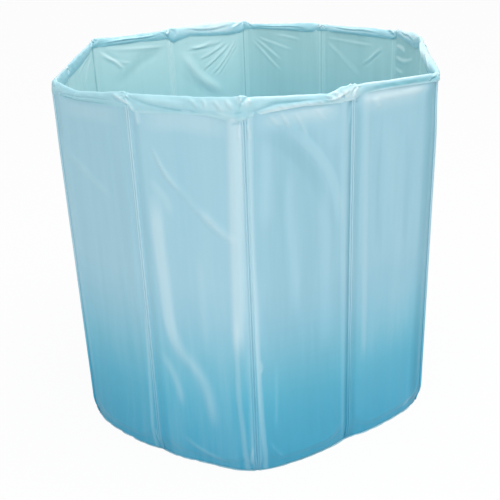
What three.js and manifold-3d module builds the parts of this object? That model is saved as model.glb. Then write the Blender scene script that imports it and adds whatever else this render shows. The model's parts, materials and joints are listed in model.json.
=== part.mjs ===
// Folding cold-water bath: twelve stiff panels in a ring, each a board in a welded pocket
// of two PVC skins, hinged to its neighbours along upright weld lines, with a hemmed rim,
// a flat floor sheet and a screw-capped drain. Millimetres, +Z up, standing on z = 0.
// The drain's axis runs along +X. The ring is the same after half a turn, bar the drain.

import * as THREE from "three";
import { mergeVertices } from "three/addons/utils/BufferGeometryUtils.js";
import Module from "manifold-3d";

const wasm = await Module();
wasm.setup();

// Driving dimensions
const panelPitch = 200; // weld line to weld line
const tubHeight = 700; // floor's underside to the top of the rim
const skinThickness = 0.5;
const boardThickness = 4;
const boardCornerRadius = 42;
const hemHeight = 28;
const hemThickness = 8;
const floorThickness = 1.2;
const floorLip = 3; // weld margin that stands out past the wall
const drainBore = 18;

// Clearances
const seatGap = 0.3; // between pieces that touch on the real tub
const pivotGap = 0.5; // from a weld bead to the next panel's skin
const cutOverrun = 2; // how far a cutter reaches past what it cuts

// Turn of the wall at each weld line, in degrees; the second six are the same again
const halfTurns = [43, 20, 50, 8, 50, 9];
const turns = [...halfTurns, ...halfTurns];
const drainPanel = 6; // counted from 1
const drainHeading = 90; // the drain's panel runs along +Y

// Weld lines and pockets of one panel
const beadRadius = 3.4;
const beadSides = 14;
const weldGap = 0.3; // between the two skins where they are welded
const sideWeld = 8; // flat weld from the hinge line to the pocket's foot
const footWeld = 10; // flat weld under the pocket
const topWeldDrop = 1; // pocket's end below the hem
const pocketSlope = 9; // width of the pocket's sloping edge
const weldCornerRadius = 4;
const cornerSteps = 5;

// Hem
const hemEndInset = 9; // from the hinge line to the hem's end
const hemTaperEnd = 24; // from the hinge line to the hem's full thickness
const hemEndThickness = 2.8;
const hemCrown = 5; // material over the slot
const crownSteps = 8;
const hemLipShare = 0.3; // of the hem's wall, cut off its lower edges

// Drain, measured along its axis from the wall's outer face
const drainHeight = 62;
const spoutRadius = 13;
const spoutReach = 27;
const barrelRadius = 15;
const flangeRadius = 27;
const flangeThickness = 3;
const flangeEdge = 1;
const gasketRadius = 25;
const gasketThickness = 2;
const nutRadius = 25;
const nutThickness = 8;
const nutLobes = 8;
const nutLobeDepth = 2.2;
const nutStepsPerLobe = 6;
const barrelEndReach = 2; // barrel past the nut
const capRadius = 18;
const capRibs = 20;
const capRibDepth = 1.1;
const capEndWall = 2.6;
const capSkirt = 16;
const sealThickness = 2;
const roundSides = 32;

// Heights and half thicknesses that follow
const boardHalf = boardThickness / 2;
const weldInner = weldGap / 2;
const weldOuter = weldInner + skinThickness;
const pocketInner = boardHalf + seatGap;
const pocketOuter = pocketInner + skinThickness;
const hingeInset = beadRadius + pivotGap;
const wallFoot = floorThickness + seatGap;
const hemFoot = tubHeight - hemHeight;
const slotTop = tubHeight - hemCrown;
const slotHalf = weldOuter + seatGap;

// Colours sampled by eye
const outerBlue = new THREE.MeshStandardMaterial({ color: 0x9fcbe0, roughness: 0.28, metalness: 0 });
const innerAqua = new THREE.MeshStandardMaterial({ color: 0x97cdd6, roughness: 0.3, metalness: 0 });
const hemAqua = new THREE.MeshStandardMaterial({ color: 0xa9dbe6, roughness: 0.26, metalness: 0 });
const boardWhite = new THREE.MeshStandardMaterial({ color: 0xe9ecee, roughness: 0.6, metalness: 0 });
const floorTeal = new THREE.MeshStandardMaterial({ color: 0x5aa5c2, roughness: 0.35, metalness: 0 });
const drainWhite = new THREE.MeshStandardMaterial({ color: 0xe8eef0, roughness: 0.35, metalness: 0 });
const capBlue = new THREE.MeshStandardMaterial({ color: 0x2f7fa6, roughness: 0.4, metalness: 0 });
const sealBlack = new THREE.MeshStandardMaterial({ color: 0x23272a, roughness: 0.7, metalness: 0 });

const degrees = THREE.MathUtils.degToRad;

// A closed solid through rings of equal count, with both ends capped
function loft(rings, flatten) {
  const count = rings[0].length;
  const points = rings.flat();
  const indices = [];
  for (let ring = 0; ring + 1 < rings.length; ring += 1) {
    for (let step = 0; step < count; step += 1) {
      const next = (step + 1) % count;
      const a = ring * count + step;
      const b = ring * count + next;
      indices.push(a, b, b + count, a, b + count, a + count);
    }
  }
  const last = (rings.length - 1) * count;
  for (const [i, j, k] of THREE.ShapeUtils.triangulateShape(rings[0].map(flatten), [])) {
    indices.push(k, j, i);
  }
  for (const [i, j, k] of THREE.ShapeUtils.triangulateShape(rings.at(-1).map(flatten), [])) {
    indices.push(last + i, last + j, last + k);
  }
  const geometry = new THREE.BufferGeometry().setFromPoints(points);
  geometry.setIndex(indices);
  return facingOut(geometry);
}

// Six times the volume a mesh encloses, negative when its faces point inward
function signedVolume(geometry) {
  const place = geometry.attributes.position;
  const index = geometry.index.array;
  const [a, b, c] = [new THREE.Vector3(), new THREE.Vector3(), new THREE.Vector3()];
  let sum = 0;
  for (let i = 0; i < index.length; i += 3) {
    a.fromBufferAttribute(place, index[i]);
    b.fromBufferAttribute(place, index[i + 1]);
    c.fromBufferAttribute(place, index[i + 2]);
    sum += a.dot(b.cross(c));
  }
  return sum;
}

function facingOut(geometry) {
  if (signedVolume(geometry) < 0) {
    geometry.index.array.reverse();
  }
  return geometry;
}

// The bare closed mesh of a geometry: positions only, shared corners merged
function merged(geometry) {
  const bare = geometry.clone();
  bare.deleteAttribute("normal");
  bare.deleteAttribute("uv");
  return mergeVertices(bare);
}

function toSolid(geometry) {
  const bare = merged(geometry);
  return new wasm.Manifold(
    new wasm.Mesh({
      numProp: 3,
      vertProperties: new Float32Array(bare.attributes.position.array),
      triVerts: new Uint32Array(bare.index.array),
    }),
  );
}

function toGeometry(solid) {
  const mesh = solid.getMesh();
  const geometry = new THREE.BufferGeometry();
  geometry.setAttribute("position", new THREE.BufferAttribute(new Float32Array(mesh.vertProperties), 3));
  geometry.setIndex(new THREE.BufferAttribute(new Uint32Array(mesh.triVerts), 1));
  return geometry;
}

// A rounded rectangle in the panel's plane, at a distance y from its middle plane
function roundedRing(y, { left, right, low, high, radius }) {
  const corners = [
    [right - radius, high - radius, 0],
    [left + radius, high - radius, 90],
    [left + radius, low + radius, 180],
    [right - radius, low + radius, 270],
  ];
  const ring = [];
  for (const [x, z, start] of corners) {
    for (let step = 0; step <= cornerSteps; step += 1) {
      const angle = degrees(start + (90 * step) / cornerSteps);
      ring.push(new THREE.Vector3(x + radius * Math.cos(angle), y, z + radius * Math.sin(angle)));
    }
  }
  return ring;
}

// Outlines shared by a panel's board and skins, from the inside out
const pocketOutline = {
  left: sideWeld + pocketSlope,
  right: panelPitch - sideWeld - pocketSlope,
  low: wallFoot + footWeld + pocketSlope,
  high: hemFoot - topWeldDrop - pocketSlope,
  radius: boardCornerRadius + seatGap,
};
const boardOutline = shrunk(pocketOutline, seatGap);
const footOutline = shrunk(pocketOutline, -pocketSlope);

function shrunk(outline, inset) {
  return {
    left: outline.left + inset,
    right: outline.right - inset,
    low: outline.low + inset,
    high: outline.high - inset,
    radius: outline.radius - inset,
  };
}

// One skin of a panel: a shallow pocket with a flat weld all round it.
// side is 1 for the inner skin and -1 for the outer one.
function skinGeometry(side, left) {
  const edge = {
    left,
    right: panelPitch - hingeInset,
    low: wallFoot,
    high: slotTop - seatGap,
    radius: weldCornerRadius,
  };
  const rings = [
    roundedRing(side * pocketOuter, pocketOutline),
    roundedRing(side * weldOuter, footOutline),
    roundedRing(side * weldOuter, edge),
    roundedRing(side * weldInner, edge),
    roundedRing(side * weldInner, footOutline),
    roundedRing(side * pocketInner, pocketOutline),
  ];
  return loft(rings, (point) => new THREE.Vector2(point.x, point.z));
}

function innerSkin() {
  return skinGeometry(1, hingeInset);
}

// The outer skin carries the raised weld bead of the hinge line at its own left edge
function outerSkin() {
  const beadLength = hemFoot - seatGap - wallFoot;
  const bead = new THREE.CylinderGeometry(beadRadius, beadRadius, beadLength, beadSides);
  bead.rotateX(Math.PI / 2);
  bead.translate(0, 0, wallFoot + beadLength / 2);
  const topCut = new THREE.BoxGeometry(2 * hingeInset, 2 * beadRadius, 2 * hemHeight);
  topCut.translate(0, 0, hemFoot - seatGap + hemHeight);
  const skin = toSolid(skinGeometry(-1, 0)).subtract(toSolid(topCut));
  return toGeometry(skin.add(toSolid(bead)));
}

function board() {
  const rings = [roundedRing(boardHalf, boardOutline), roundedRing(-boardHalf, boardOutline)];
  return loft(rings, (point) => new THREE.Vector2(point.x, point.z));
}

// The hem's section at a place along the panel: an upside-down U with a round crown
function hemSection(x, thickness) {
  const half = thickness / 2;
  const lip = (half - slotHalf) * hemLipShare;
  const section = [
    [slotHalf, slotTop],
    [slotHalf, hemFoot],
    [half - lip, hemFoot],
    [half, hemFoot + lip],
  ];
  for (let step = 0; step <= crownSteps; step += 1) {
    const angle = (Math.PI * step) / crownSteps;
    section.push([half * Math.cos(angle), tubHeight - half + half * Math.sin(angle)]);
  }
  section.push([-half, hemFoot + lip], [lip - half, hemFoot], [-slotHalf, hemFoot], [-slotHalf, slotTop]);
  return section.map(([y, z]) => new THREE.Vector3(x, y, z));
}

function rimHem() {
  const rings = [
    hemSection(hemEndInset, hemEndThickness),
    hemSection(hemTaperEnd, hemThickness),
    hemSection(panelPitch - hemTaperEnd, hemThickness),
    hemSection(panelPitch - hemEndInset, hemEndThickness),
  ];
  return loft(rings, (point) => new THREE.Vector2(point.y, point.z));
}

// Corner points of the wall, walked panel by panel, centred on the ring
function wallCorners() {
  let heading = drainHeading;
  for (let corner = 1; corner < drainPanel; corner += 1) {
    heading -= turns[corner];
  }
  const corners = [];
  const place = new THREE.Vector2();
  for (let panel = 0; panel < turns.length; panel += 1) {
    corners.push({ place: place.clone(), heading });
    const along = new THREE.Vector2(Math.cos(degrees(heading)), Math.sin(degrees(heading)));
    place.addScaledVector(along, panelPitch);
    heading += turns[(panel + 1) % turns.length];
  }
  const centre = corners[0].place.clone().add(corners[turns.length / 2].place).multiplyScalar(1 / 2);
  corners.forEach((corner) => corner.place.sub(centre));
  return corners;
}

// The floor: the wall's outline let out by the weld margin, with mitred corners
function floorSheet(corners) {
  const outline = new THREE.Shape();
  corners.forEach(({ place, heading }, index) => {
    const halfTurn = degrees(turns[index] / 2);
    const outward = degrees(heading) - halfTurn - Math.PI / 2;
    const reach = (pocketOuter + floorLip) / Math.cos(halfTurn);
    const x = place.x + reach * Math.cos(outward);
    const y = place.y + reach * Math.sin(outward);
    if (index === 0) {
      outline.moveTo(x, y);
    } else {
      outline.lineTo(x, y);
    }
  });
  return new THREE.ExtrudeGeometry(outline, { depth: floorThickness, bevelEnabled: false });
}

// Drain pieces are turned about the Y axis, then laid on the drain's axis, outward
function onDrainAxis(geometry) {
  geometry.rotateX(Math.PI);
  geometry.translate(panelPitch / 2, -pocketOuter, drainHeight);
  return geometry;
}

function turned(profile) {
  const points = profile.map(([radius, along]) => new THREE.Vector2(radius, along));
  points.push(points[0].clone());
  return onDrainAxis(facingOut(merged(new THREE.LatheGeometry(points, roundSides))));
}

// Places along the drain's axis, out from the wall's outer face
const wallThrough = 2 * pocketOuter;
const nutNear = -(wallThrough + seatGap);
const nutFar = nutNear - nutThickness;
const barrelEnd = nutFar - barrelEndReach;
const flangeNear = gasketThickness + 2 * seatGap;
const flangeFar = flangeNear + flangeThickness;
const spoutEnd = flangeFar + spoutReach;
const boreRadius = drainBore / 2;
const fitRadius = barrelRadius + seatGap;

function drainSpout() {
  return turned([
    [boreRadius, barrelEnd],
    [barrelRadius, barrelEnd],
    [barrelRadius, flangeNear],
    [flangeRadius, flangeNear],
    [flangeRadius, flangeFar - flangeEdge],
    [flangeRadius - flangeEdge, flangeFar],
    [spoutRadius, flangeFar],
    [spoutRadius, spoutEnd],
    [boreRadius, spoutEnd],
  ]);
}

function drainGasket() {
  return turned([
    [fitRadius, seatGap],
    [gasketRadius, seatGap],
    [gasketRadius, seatGap + gasketThickness],
    [fitRadius, seatGap + gasketThickness],
  ]);
}

// A wavy disc, drawn by its radius at each angle
function wavyShape(radius, depth, waves, steps) {
  const shape = new THREE.Shape();
  for (let step = 0; step < waves * steps; step += 1) {
    const angle = (2 * Math.PI * step) / (waves * steps);
    const reach = radius - (depth / 2) * (1 - Math.cos(waves * angle));
    const [x, y] = [reach * Math.cos(angle), reach * Math.sin(angle)];
    if (step === 0) {
      shape.moveTo(x, y);
    } else {
      shape.lineTo(x, y);
    }
  }
  return shape;
}

// A slab of a shape that fills from near to far along the drain's axis
function slabOnAxis(shape, near, far) {
  const slab = new THREE.ExtrudeGeometry(shape, { depth: far - near, bevelEnabled: false, curveSegments: roundSides / 2 });
  slab.rotateX(-Math.PI / 2);
  slab.translate(0, near, 0);
  return onDrainAxis(facingOut(merged(slab)));
}

function drainNut() {
  const shape = wavyShape(nutRadius, nutLobeDepth, nutLobes, nutStepsPerLobe);
  shape.holes.push(new THREE.Path().absarc(0, 0, fitRadius, 0, 2 * Math.PI, true));
  return slabOnAxis(shape, nutFar, nutNear);
}

const sealNear = spoutEnd + seatGap;
const capInnerEnd = sealNear + sealThickness + seatGap;
const capFar = capInnerEnd + capEndWall;

function drainSeal() {
  const disc = new THREE.CylinderGeometry(spoutRadius, spoutRadius, sealThickness, roundSides);
  disc.translate(0, sealNear + sealThickness / 2, 0);
  return onDrainAxis(disc);
}

function drainCap() {
  const ribbed = slabOnAxis(wavyShape(capRadius, capRibDepth, capRibs, 4), capFar - capSkirt, capFar);
  const inside = new THREE.CylinderGeometry(spoutRadius + seatGap, spoutRadius + seatGap, capSkirt, roundSides);
  inside.translate(0, capInnerEnd - capSkirt / 2, 0);
  return toGeometry(toSolid(ribbed).subtract(toSolid(onDrainAxis(inside))));
}

// The hole that the drain's barrel passes through
function bored(geometry) {
  const length = wallThrough + 2 * cutOverrun;
  const cutter = new THREE.CylinderGeometry(fitRadius, fitRadius, length, roundSides);
  cutter.translate(0, -wallThrough / 2, 0);
  return toGeometry(toSolid(geometry).subtract(toSolid(onDrainAxis(cutter))));
}

function piece(name, geometry, material) {
  const bare = merged(geometry);
  const mesh = new THREE.Mesh(bare.toNonIndexed(), material.clone());
  mesh.geometry.computeVertexNormals();
  mesh.name = name;
  return mesh;
}

function panel(number) {
  const label = String(number).padStart(2, "0");
  const finish = number === drainPanel ? bored : (geometry) => geometry;
  const group = new THREE.Group();
  group.add(piece(`board_${label}`, finish(board()), boardWhite));
  group.add(piece(`outer_skin_${label}`, finish(outerSkin()), outerBlue));
  group.add(piece(`inner_skin_${label}`, finish(innerSkin()), innerAqua));
  group.add(piece(`rim_hem_${label}`, rimHem(), hemAqua));
  if (number === drainPanel) {
    group.add(piece("drain_spout", drainSpout(), drainWhite));
    group.add(piece("drain_gasket", drainGasket(), sealBlack));
    group.add(piece("drain_nut", drainNut(), drainWhite));
    group.add(piece("drain_cap", drainCap(), capBlue));
    group.add(piece("drain_cap_seal", drainSeal(), sealBlack));
  }
  return group;
}

const tub = new THREE.Group();
const corners = wallCorners();
corners.forEach(({ place, heading }, index) => {
  const group = panel(index + 1);
  group.position.set(place.x, place.y, 0);
  group.rotation.z = degrees(heading);
  tub.add(group);
});
tub.add(piece("floor_sheet", floorSheet(corners), floorTeal));

// The origin is under the middle of the whole, drain included
tub.updateMatrixWorld(true);
const middle = new THREE.Box3().setFromObject(tub, true).getCenter(new THREE.Vector3());
tub.position.set(-middle.x, -middle.y, 0);
tub.updateMatrixWorld(true);

export default tub;
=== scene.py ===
import json
import math
import bpy
import numpy as np
from mathutils import Matrix, Vector


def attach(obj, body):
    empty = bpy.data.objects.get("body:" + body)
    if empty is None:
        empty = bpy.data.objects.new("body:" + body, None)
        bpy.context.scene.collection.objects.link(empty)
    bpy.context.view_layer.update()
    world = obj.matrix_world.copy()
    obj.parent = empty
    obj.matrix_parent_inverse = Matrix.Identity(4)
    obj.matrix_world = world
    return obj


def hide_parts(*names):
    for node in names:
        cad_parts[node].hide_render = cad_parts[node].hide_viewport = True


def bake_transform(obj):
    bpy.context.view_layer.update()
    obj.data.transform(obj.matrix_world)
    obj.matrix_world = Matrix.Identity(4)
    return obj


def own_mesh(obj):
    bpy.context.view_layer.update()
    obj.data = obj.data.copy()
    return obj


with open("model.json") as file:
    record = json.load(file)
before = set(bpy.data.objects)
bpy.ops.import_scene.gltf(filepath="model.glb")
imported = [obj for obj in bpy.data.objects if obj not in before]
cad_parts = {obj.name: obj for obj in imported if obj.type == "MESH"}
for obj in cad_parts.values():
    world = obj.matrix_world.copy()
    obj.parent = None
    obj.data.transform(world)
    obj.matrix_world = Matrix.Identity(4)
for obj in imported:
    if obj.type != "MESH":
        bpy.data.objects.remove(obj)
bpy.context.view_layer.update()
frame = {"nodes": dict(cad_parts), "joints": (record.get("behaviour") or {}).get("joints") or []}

# Lengths in the settings are millimetres, but metres for the camera, the lamps and what goes into node trees.
# A place round the wall is panel number + share of that panel, so 2.25 is a quarter of the way along panel 02.
# Heights are above the ground.
mm = 0.001

view = {
    "place": (-0.1407, -1.5648, 0.9637),
    "ahead": (0.0767, 0.9971),
    "down": 23.83,
    "roll": -2.239,
    "lens": 56.56,
    "sensor": 36,
    "clip": (0.02, 100),
}


def linked(name, data):
    obj = bpy.data.objects.new(name, data)
    bpy.context.scene.collection.objects.link(obj)
    return obj


def placeCamera(look):
    data = bpy.data.cameras.new("camera")
    data.lens, data.sensor_width = look["lens"], look["sensor"]
    data.clip_start, data.clip_end = look["clip"]
    cam = linked("camera", data)
    down, roll = math.radians(look["down"]), math.radians(look["roll"])
    x, y = look["ahead"]
    ahead = Vector((x * math.cos(down), y * math.cos(down), -math.sin(down))).normalized()
    right = ahead.cross(Vector((0, 0, 1))).normalized()
    up = right.cross(ahead)
    right, up = right * math.cos(roll) + up * math.sin(roll), up * math.cos(roll) - right * math.sin(roll)
    turn = Matrix((right, up, -ahead)).transposed().to_4x4()
    cam.matrix_world = Matrix.Translation(look["place"]) @ turn
    bpy.context.scene.camera = cam


placeCamera(view)
print("camera set")

ring = {
    "pitch": 200.0,
    "panels": 12,
    "rounding": 9.0,       # how far from a weld line the wall starts to turn
    "openLine": 9,         # between panels 08 and 09, where the model's ring is opened
    "openRounding": 3.0,
    "columns": [0, 1.2, 2.4, 3.6, 5, 6.5, 8],     # mesh columns beside a weld line, inside the strip
    "stripHalf": 10.0,     # half width of the strip that bends over a weld line
    "bendHalf": 6.0,
    "bendHeight": 0.35,    # metres
    "foldSlope": 0.165,    # a little under the tangent of half the folded angle
}
pitch, panels = ring["pitch"], ring["panels"]
ringLength = pitch * panels
panelNumbers = range(1, panels + 1)


def panelBody(number):
    number = (number - 1) % panels + 1
    return "panel_02_and_floor" if number == 2 else "panel_%02d" % number


# where the weld lines stand, from the hinges: a hinge's name has its parent panel first
def weldLines():
    at = {j["name"]: np.array(j["pos_m"][:2]) / mm for j in frame["joints"] if j["name"].startswith("weld_hinge")}
    line = {k: at["weld_hinge_%02d_%02d" % (k - 1, k)] for k in range(3, ring["openLine"])}
    line.update({k: at["weld_hinge_%02d_%02d" % (k, k - 1 or panels)] for k in (1, 2, 10, 11, 12)})
    middle = (line[1] + line[7]) / 2
    line[9] = 2 * middle - line[3]      # the ring looks the same after half a turn
    return np.array([line[k] for k in panelNumbers]), middle


corners, ringMiddle = weldLines()
alongPanel = np.roll(corners, -1, axis=0) - corners
alongPanel /= np.linalg.norm(alongPanel, axis=1)[:, None]


# the wall's line on the ground and its outward direction, at lengths round the wall
def ringLine(xs):
    base, out = [], []
    for x in xs:
        x = x % ringLength
        corner = int(x // pitch)
        u = x - corner * pitch
        if u > pitch / 2:
            corner, u = (corner + 1) % panels, u - pitch
        r = ring["openRounding"] if corner == ring["openLine"] - 1 else ring["rounding"]
        here, before, after = corners[corner], alongPanel[corner - 1], alongPanel[corner]
        if abs(u) >= r:
            t = after if u > 0 else before
            p = here + t * u
        else:
            s = (u + r) / (2 * r)
            p = here - before * r * (1 - s) ** 2 + after * r * s ** 2
            t = before * (1 - s) + after * s
            t = t / np.linalg.norm(t)
        base.append(p)
        out.append((t[1], -t[0]))
    return np.array(base), np.array(out)


def smooth(t):
    t = np.clip(t, 0, 1)
    return t * t * (3 - 2 * t)


# a value round the wall, straight between (place, value) pairs
def roundWall(keys, xs):
    at = np.array([(p - 1) * pitch for p, _ in keys])
    value = np.array([v for _, v in keys], float)
    at, value = np.concatenate((at - ringLength, at, at + ringLength)), np.tile(value, 3)
    order = np.argsort(at)
    return np.interp(np.asarray(xs) % ringLength, at[order], value[order])


# columns round the wall: close together at the weld lines, and finer on the panels that the photo shows
def columns(step, fine=None, shown=()):
    near = ring["columns"] + [ring["stripHalf"]]
    room = pitch - 2 * ring["stripHalf"]
    xs = []
    for k in panelNumbers:
        count = max(2, round(room / (fine if k in shown else step)))
        mids = [ring["stripHalf"] + room * i / count for i in range(1, count)]
        xs += [(k - 1) * pitch + u for u in near + mids + [pitch - v for v in near[:0:-1]]]
    return np.array(xs)


# the columns from one length round the wall to another, also over the end of the list
def columnsBetween(xs, low, high):
    at = {round(float(x), 3): i for i, x in enumerate(xs)}
    first, last = at[round(low % ringLength, 3)], at[round(high % ringLength, 3)]
    return np.arange(first, last + 1 if last > first else last + len(xs) + 1) % len(xs)


def rows(*spans):
    zs = []
    for low, high, step in spans:
        count = max(1, round((high - low) / step))
        zs += [low + (high - low) * i / count for i in range(count)]
    return np.array(zs + [spans[-1][1]])


# soft swells that close up after a full turn of the wall
def swells(xs, zs, look):
    rng = np.random.default_rng(look["seed"])
    total = np.zeros((len(xs), len(zs)))
    for _ in range(look["count"]):
        turns = round(ringLength / rng.uniform(*look["across"]))
        lean = rng.choice((-1, 1)) / rng.uniform(*look["upright"])
        total += np.sin(2 * math.pi * (turns * xs[:, None] / ringLength + zs[None, :] * lean + rng.random()))
    return total * look["height"] / math.sqrt(look["count"])


# rounds a path by cutting its corners twice
def rounded(path):
    pts = np.array(path, float)
    for _ in range(2):
        if len(pts) < 3:
            break
        cut = [pts[0]]
        for a, b in zip(pts[:-1], pts[1:]):
            cut += [a * 0.75 + b * 0.25, a * 0.25 + b * 0.75]
        pts = np.array(cut + [pts[-1]])
    return pts


# Folds are listed by kind, in rows of (half width, height, tone, points of the path). Tone above 0 is paler, partly
# film whitened by stretching and partly painted highlight; below 0 it is deeper, painted shade. ridge: round crest.
# band: flat crest. seam: a band that doesn't fade at its ends. crease: crest with a trough on the right of its path.
foldShape = {
    "kinds": ("crease", "ridge", "band", "seam"),
    "reach": 4,            # half widths from its path that a fold is worked out to
    "fadeShare": 0.3,      # the ends fade over this share of the path, or over this length if that is less
    "fadeLength": 70,
    "trough": 0.75,        # a crease's trough, as a share of its crest
    "troughOff": 1.5,      # and its distance from the path, in half widths
}


def listed(look):
    return [(kind, half, height, path, tone) for kind in foldShape["kinds"]
            for half, height, tone, *path in look.get(kind, ())]


# presses one fold into a lift field and a tone field
def press(lift, pale, xs, zs, fold):
    kind, half, height, path, tone = fold
    pts = rounded([((p - 1) * pitch, z) for p, z in path])
    lengths = np.linalg.norm(np.diff(pts, axis=0), axis=1)
    total = lengths.sum()
    reach = half * foldShape["reach"]
    for shift in (-ringLength, 0, ringLength):
        line = pts + (shift, 0)
        cols = np.nonzero((xs > line[:, 0].min() - reach) & (xs < line[:, 0].max() + reach))[0]
        lines = np.nonzero((zs > line[:, 1].min() - reach) & (zs < line[:, 1].max() + reach))[0]
        if not len(cols) or not len(lines):
            continue
        gx, gz = np.meshgrid(xs[cols], zs[lines], indexing="ij")
        best, side, share = np.full(gx.shape, 1e9), np.zeros(gx.shape), np.zeros(gx.shape)
        gone = 0.0
        for a, b, n in zip(line[:-1], line[1:], lengths):
            t = (b - a) / max(n, 1e-9)
            px, pz = gx - a[0], gz - a[1]
            s = np.clip(px * t[0] + pz * t[1], 0, n)
            d = np.hypot(px - s * t[0], pz - s * t[1])
            near = d < best
            best[near] = d[near]
            side[near] = np.sign(t[0] * pz - t[1] * px)[near]
            share[near] = ((gone + s) / total)[near]
            gone += n
        fade = min(foldShape["fadeShare"], foldShape["fadeLength"] / total)
        ends = 1.0 if kind == "seam" else smooth(share / fade) * smooth((1 - share) / fade)
        crest = np.exp(-(best / half) ** (4 if kind in ("band", "seam") else 2))
        shape = crest
        if kind == "crease":
            off = foldShape["troughOff"] * half
            shape = crest - foldShape["trough"] * np.exp(-((best * side + off) / half) ** 2)
        lift[np.ix_(cols, lines)] += height * shape * ends
        pale[np.ix_(cols, lines)] += tone * crest * ends


# short tucks that fan out from a point, as where a hem is bunched up; their pale tone is partly film whitened by
# stretching and partly painted highlight
def gathers(place, z, towards, seed, look):
    rng = np.random.default_rng(seed)
    count, start = look["count"], look["start"]
    made = []
    for i in range(count):
        fan = (i + 0.5 - count / 2) * look["spread"] / count
        turn = math.radians(towards + fan + rng.uniform(-look["turn"], look["turn"]))
        far = look["length"] * rng.uniform(*look["far"])
        dx, dz = math.cos(turn), math.sin(turn)
        bow = rng.uniform(-look["bow"], look["bow"]) * far
        path = [(place + start * dx / pitch, z + start * dz),
                (place + (far * 0.5 * dx - bow * dz) / pitch, z + far * 0.5 * dz + bow * dx),
                (place + far * dx / pitch, z + far * dz)]
        half = look["half"] * rng.uniform(*look["halves"])
        made.append(("crease", half, look["height"] * rng.uniform(*look["heights"]), path, look["tone"]))
    return made


def gridNormals(points):
    across = np.roll(points, -1, axis=0) - np.roll(points, 1, axis=0)
    upward = np.gradient(points, axis=1)
    n = np.cross(across, upward)
    return n / np.maximum(np.linalg.norm(n, axis=2), 1e-9)[:, :, None]


def gridQuads(nu, nv):
    index = np.arange(nu * nv).reshape(nu, nv)
    return np.stack((index[:-1, :-1], index[1:, :-1], index[1:, 1:], index[:-1, 1:]), axis=2).reshape(-1, 4)


# A closed thin shell from a front and a back grid of points (millimetres). keep drops faces, as at a bore.
def shellMesh(name, front, back, keep=None, turned=False, values=None):
    nu, nv = front.shape[:2]
    quads = gridQuads(nu, nv)
    if keep is not None:
        quads = quads[keep.reshape(-1)]
    start, end = quads.ravel(), np.roll(quads, -1, axis=1).ravel()
    key, other = start * (nu * nv) + end, end * (nu * nv) + start
    rimEdges = ~np.isin(key, other)
    a, b = start[rimEdges], end[rimEdges]
    walls = np.stack((b, a, a + nu * nv, b + nu * nv), axis=1)
    faces = np.concatenate((quads, quads[:, ::-1] + nu * nv, walls))
    if turned:
        faces = faces[:, ::-1]
    points = np.concatenate((front.reshape(-1, 3), back.reshape(-1, 3))) * mm
    used, flat = np.unique(faces, return_inverse=True)
    faces, points = flat.reshape(-1, 4), points[used]
    mesh = bpy.data.meshes.new(name)
    mesh.vertices.add(len(points))
    mesh.vertices.foreach_set("co", points.astype(np.float32).ravel())
    mesh.loops.add(faces.size)
    mesh.loops.foreach_set("vertex_index", faces.astype(np.int32).ravel())
    mesh.polygons.add(len(faces))
    mesh.polygons.foreach_set("loop_start", np.arange(len(faces), dtype=np.int32) * 4)
    mesh.update(calc_edges=True)
    mesh.polygons.foreach_set("use_smooth", np.ones(len(faces), bool))
    pairs = np.zeros(len(mesh.edges) * 2, np.int32)
    mesh.edges.foreach_get("vertices", pairs)
    pairs = np.sort(used[pairs.reshape(-1, 2)], axis=1)
    borders = np.sort(np.concatenate((np.stack((a, b), 1), np.stack((a, b), 1) + nu * nv)), axis=1)
    sharp = np.isin(pairs[:, 0] * (2 * nu * nv) + pairs[:, 1], borders[:, 0] * (2 * nu * nv) + borders[:, 1])
    mesh.edges.foreach_set("use_edge_sharp", sharp)
    if values is not None:
        both = np.clip(np.concatenate((values.ravel(), values.ravel())), -1, 1)[used]
        mesh.attributes.new("pale", "FLOAT", "POINT").data.foreach_set("value", both.astype(np.float32))
    mesh.validate()
    return linked(name, mesh)


def paint(hexColour):
    parts = [int(hexColour[i:i + 2], 16) / 255 for i in (0, 2, 4)]
    return tuple(c / 12.92 if c < 0.04045 else ((c + 0.055) / 1.055) ** 2.4 for c in parts) + (1,)


def wire(tree, kind, ins=None, **props):
    node = tree.nodes.new(kind)
    for name, value in props.items():
        setattr(node, name, value)
    for key, value in (ins or {}).items():
        socket = node.inputs[key]
        if isinstance(value, bpy.types.NodeSocket):
            tree.links.new(value, socket)
        else:
            socket.default_value = value
    return node


def mathNode(tree, operation, a, b, **props):
    return wire(tree, "ShaderNodeMath", {0: a, 1: b}, operation=operation, **props).outputs[0]


def noise(tree, place, scale, detail, **ins):
    return wire(tree, "ShaderNodeTexNoise", {"Vector": place, "Scale": scale, "Detail": detail, **ins}).outputs["Fac"]


def spread(tree, value, low, high, toLow=0.0, toHigh=1.0):
    ins = {"Value": value, "From Min": low, "From Max": high, "To Min": toLow, "To Max": toHigh}
    return wire(tree, "ShaderNodeMapRange", ins).outputs["Result"]


def mix(tree, factor, a, b, **props):
    return wire(tree, "ShaderNodeMix", {"Factor": factor, 6: a, 7: b}, data_type="RGBA", **props).outputs[2]


def newMaterial(name):
    mat = bpy.data.materials.new(name)
    mat.use_nodes = True
    return mat, mat.node_tree, mat.node_tree.nodes["Principled BSDF"]


# what all the plastics share: roughness from a cloudy noise and a fine grain in the bump
def plasticSurface(tree, shader, place, cloud, span, look, depth):
    tree.links.new(spread(tree, cloud, *span, *look["rough"]), shader.inputs["Roughness"])
    grain = noise(tree, place, look["grainScale"], 2.0)
    skin = wire(tree, "ShaderNodeBump", {"Height": grain, "Strength": look["grain"], "Distance": depth})
    tree.links.new(skin.outputs["Normal"], shader.inputs["Normal"])
    shader.inputs["IOR"].default_value = 1.5


film = {
    "wallHeight": 0.7,
    "streakScale": 46.0,
    "streakStretch": 0.09,     # how much slower the streaks change upwards than round the wall
    "glossScale": 14.0,
    "grainDepth": 0.0006,
    "specular": 0.5,
    "coatRoughness": 0.16,
}
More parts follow.
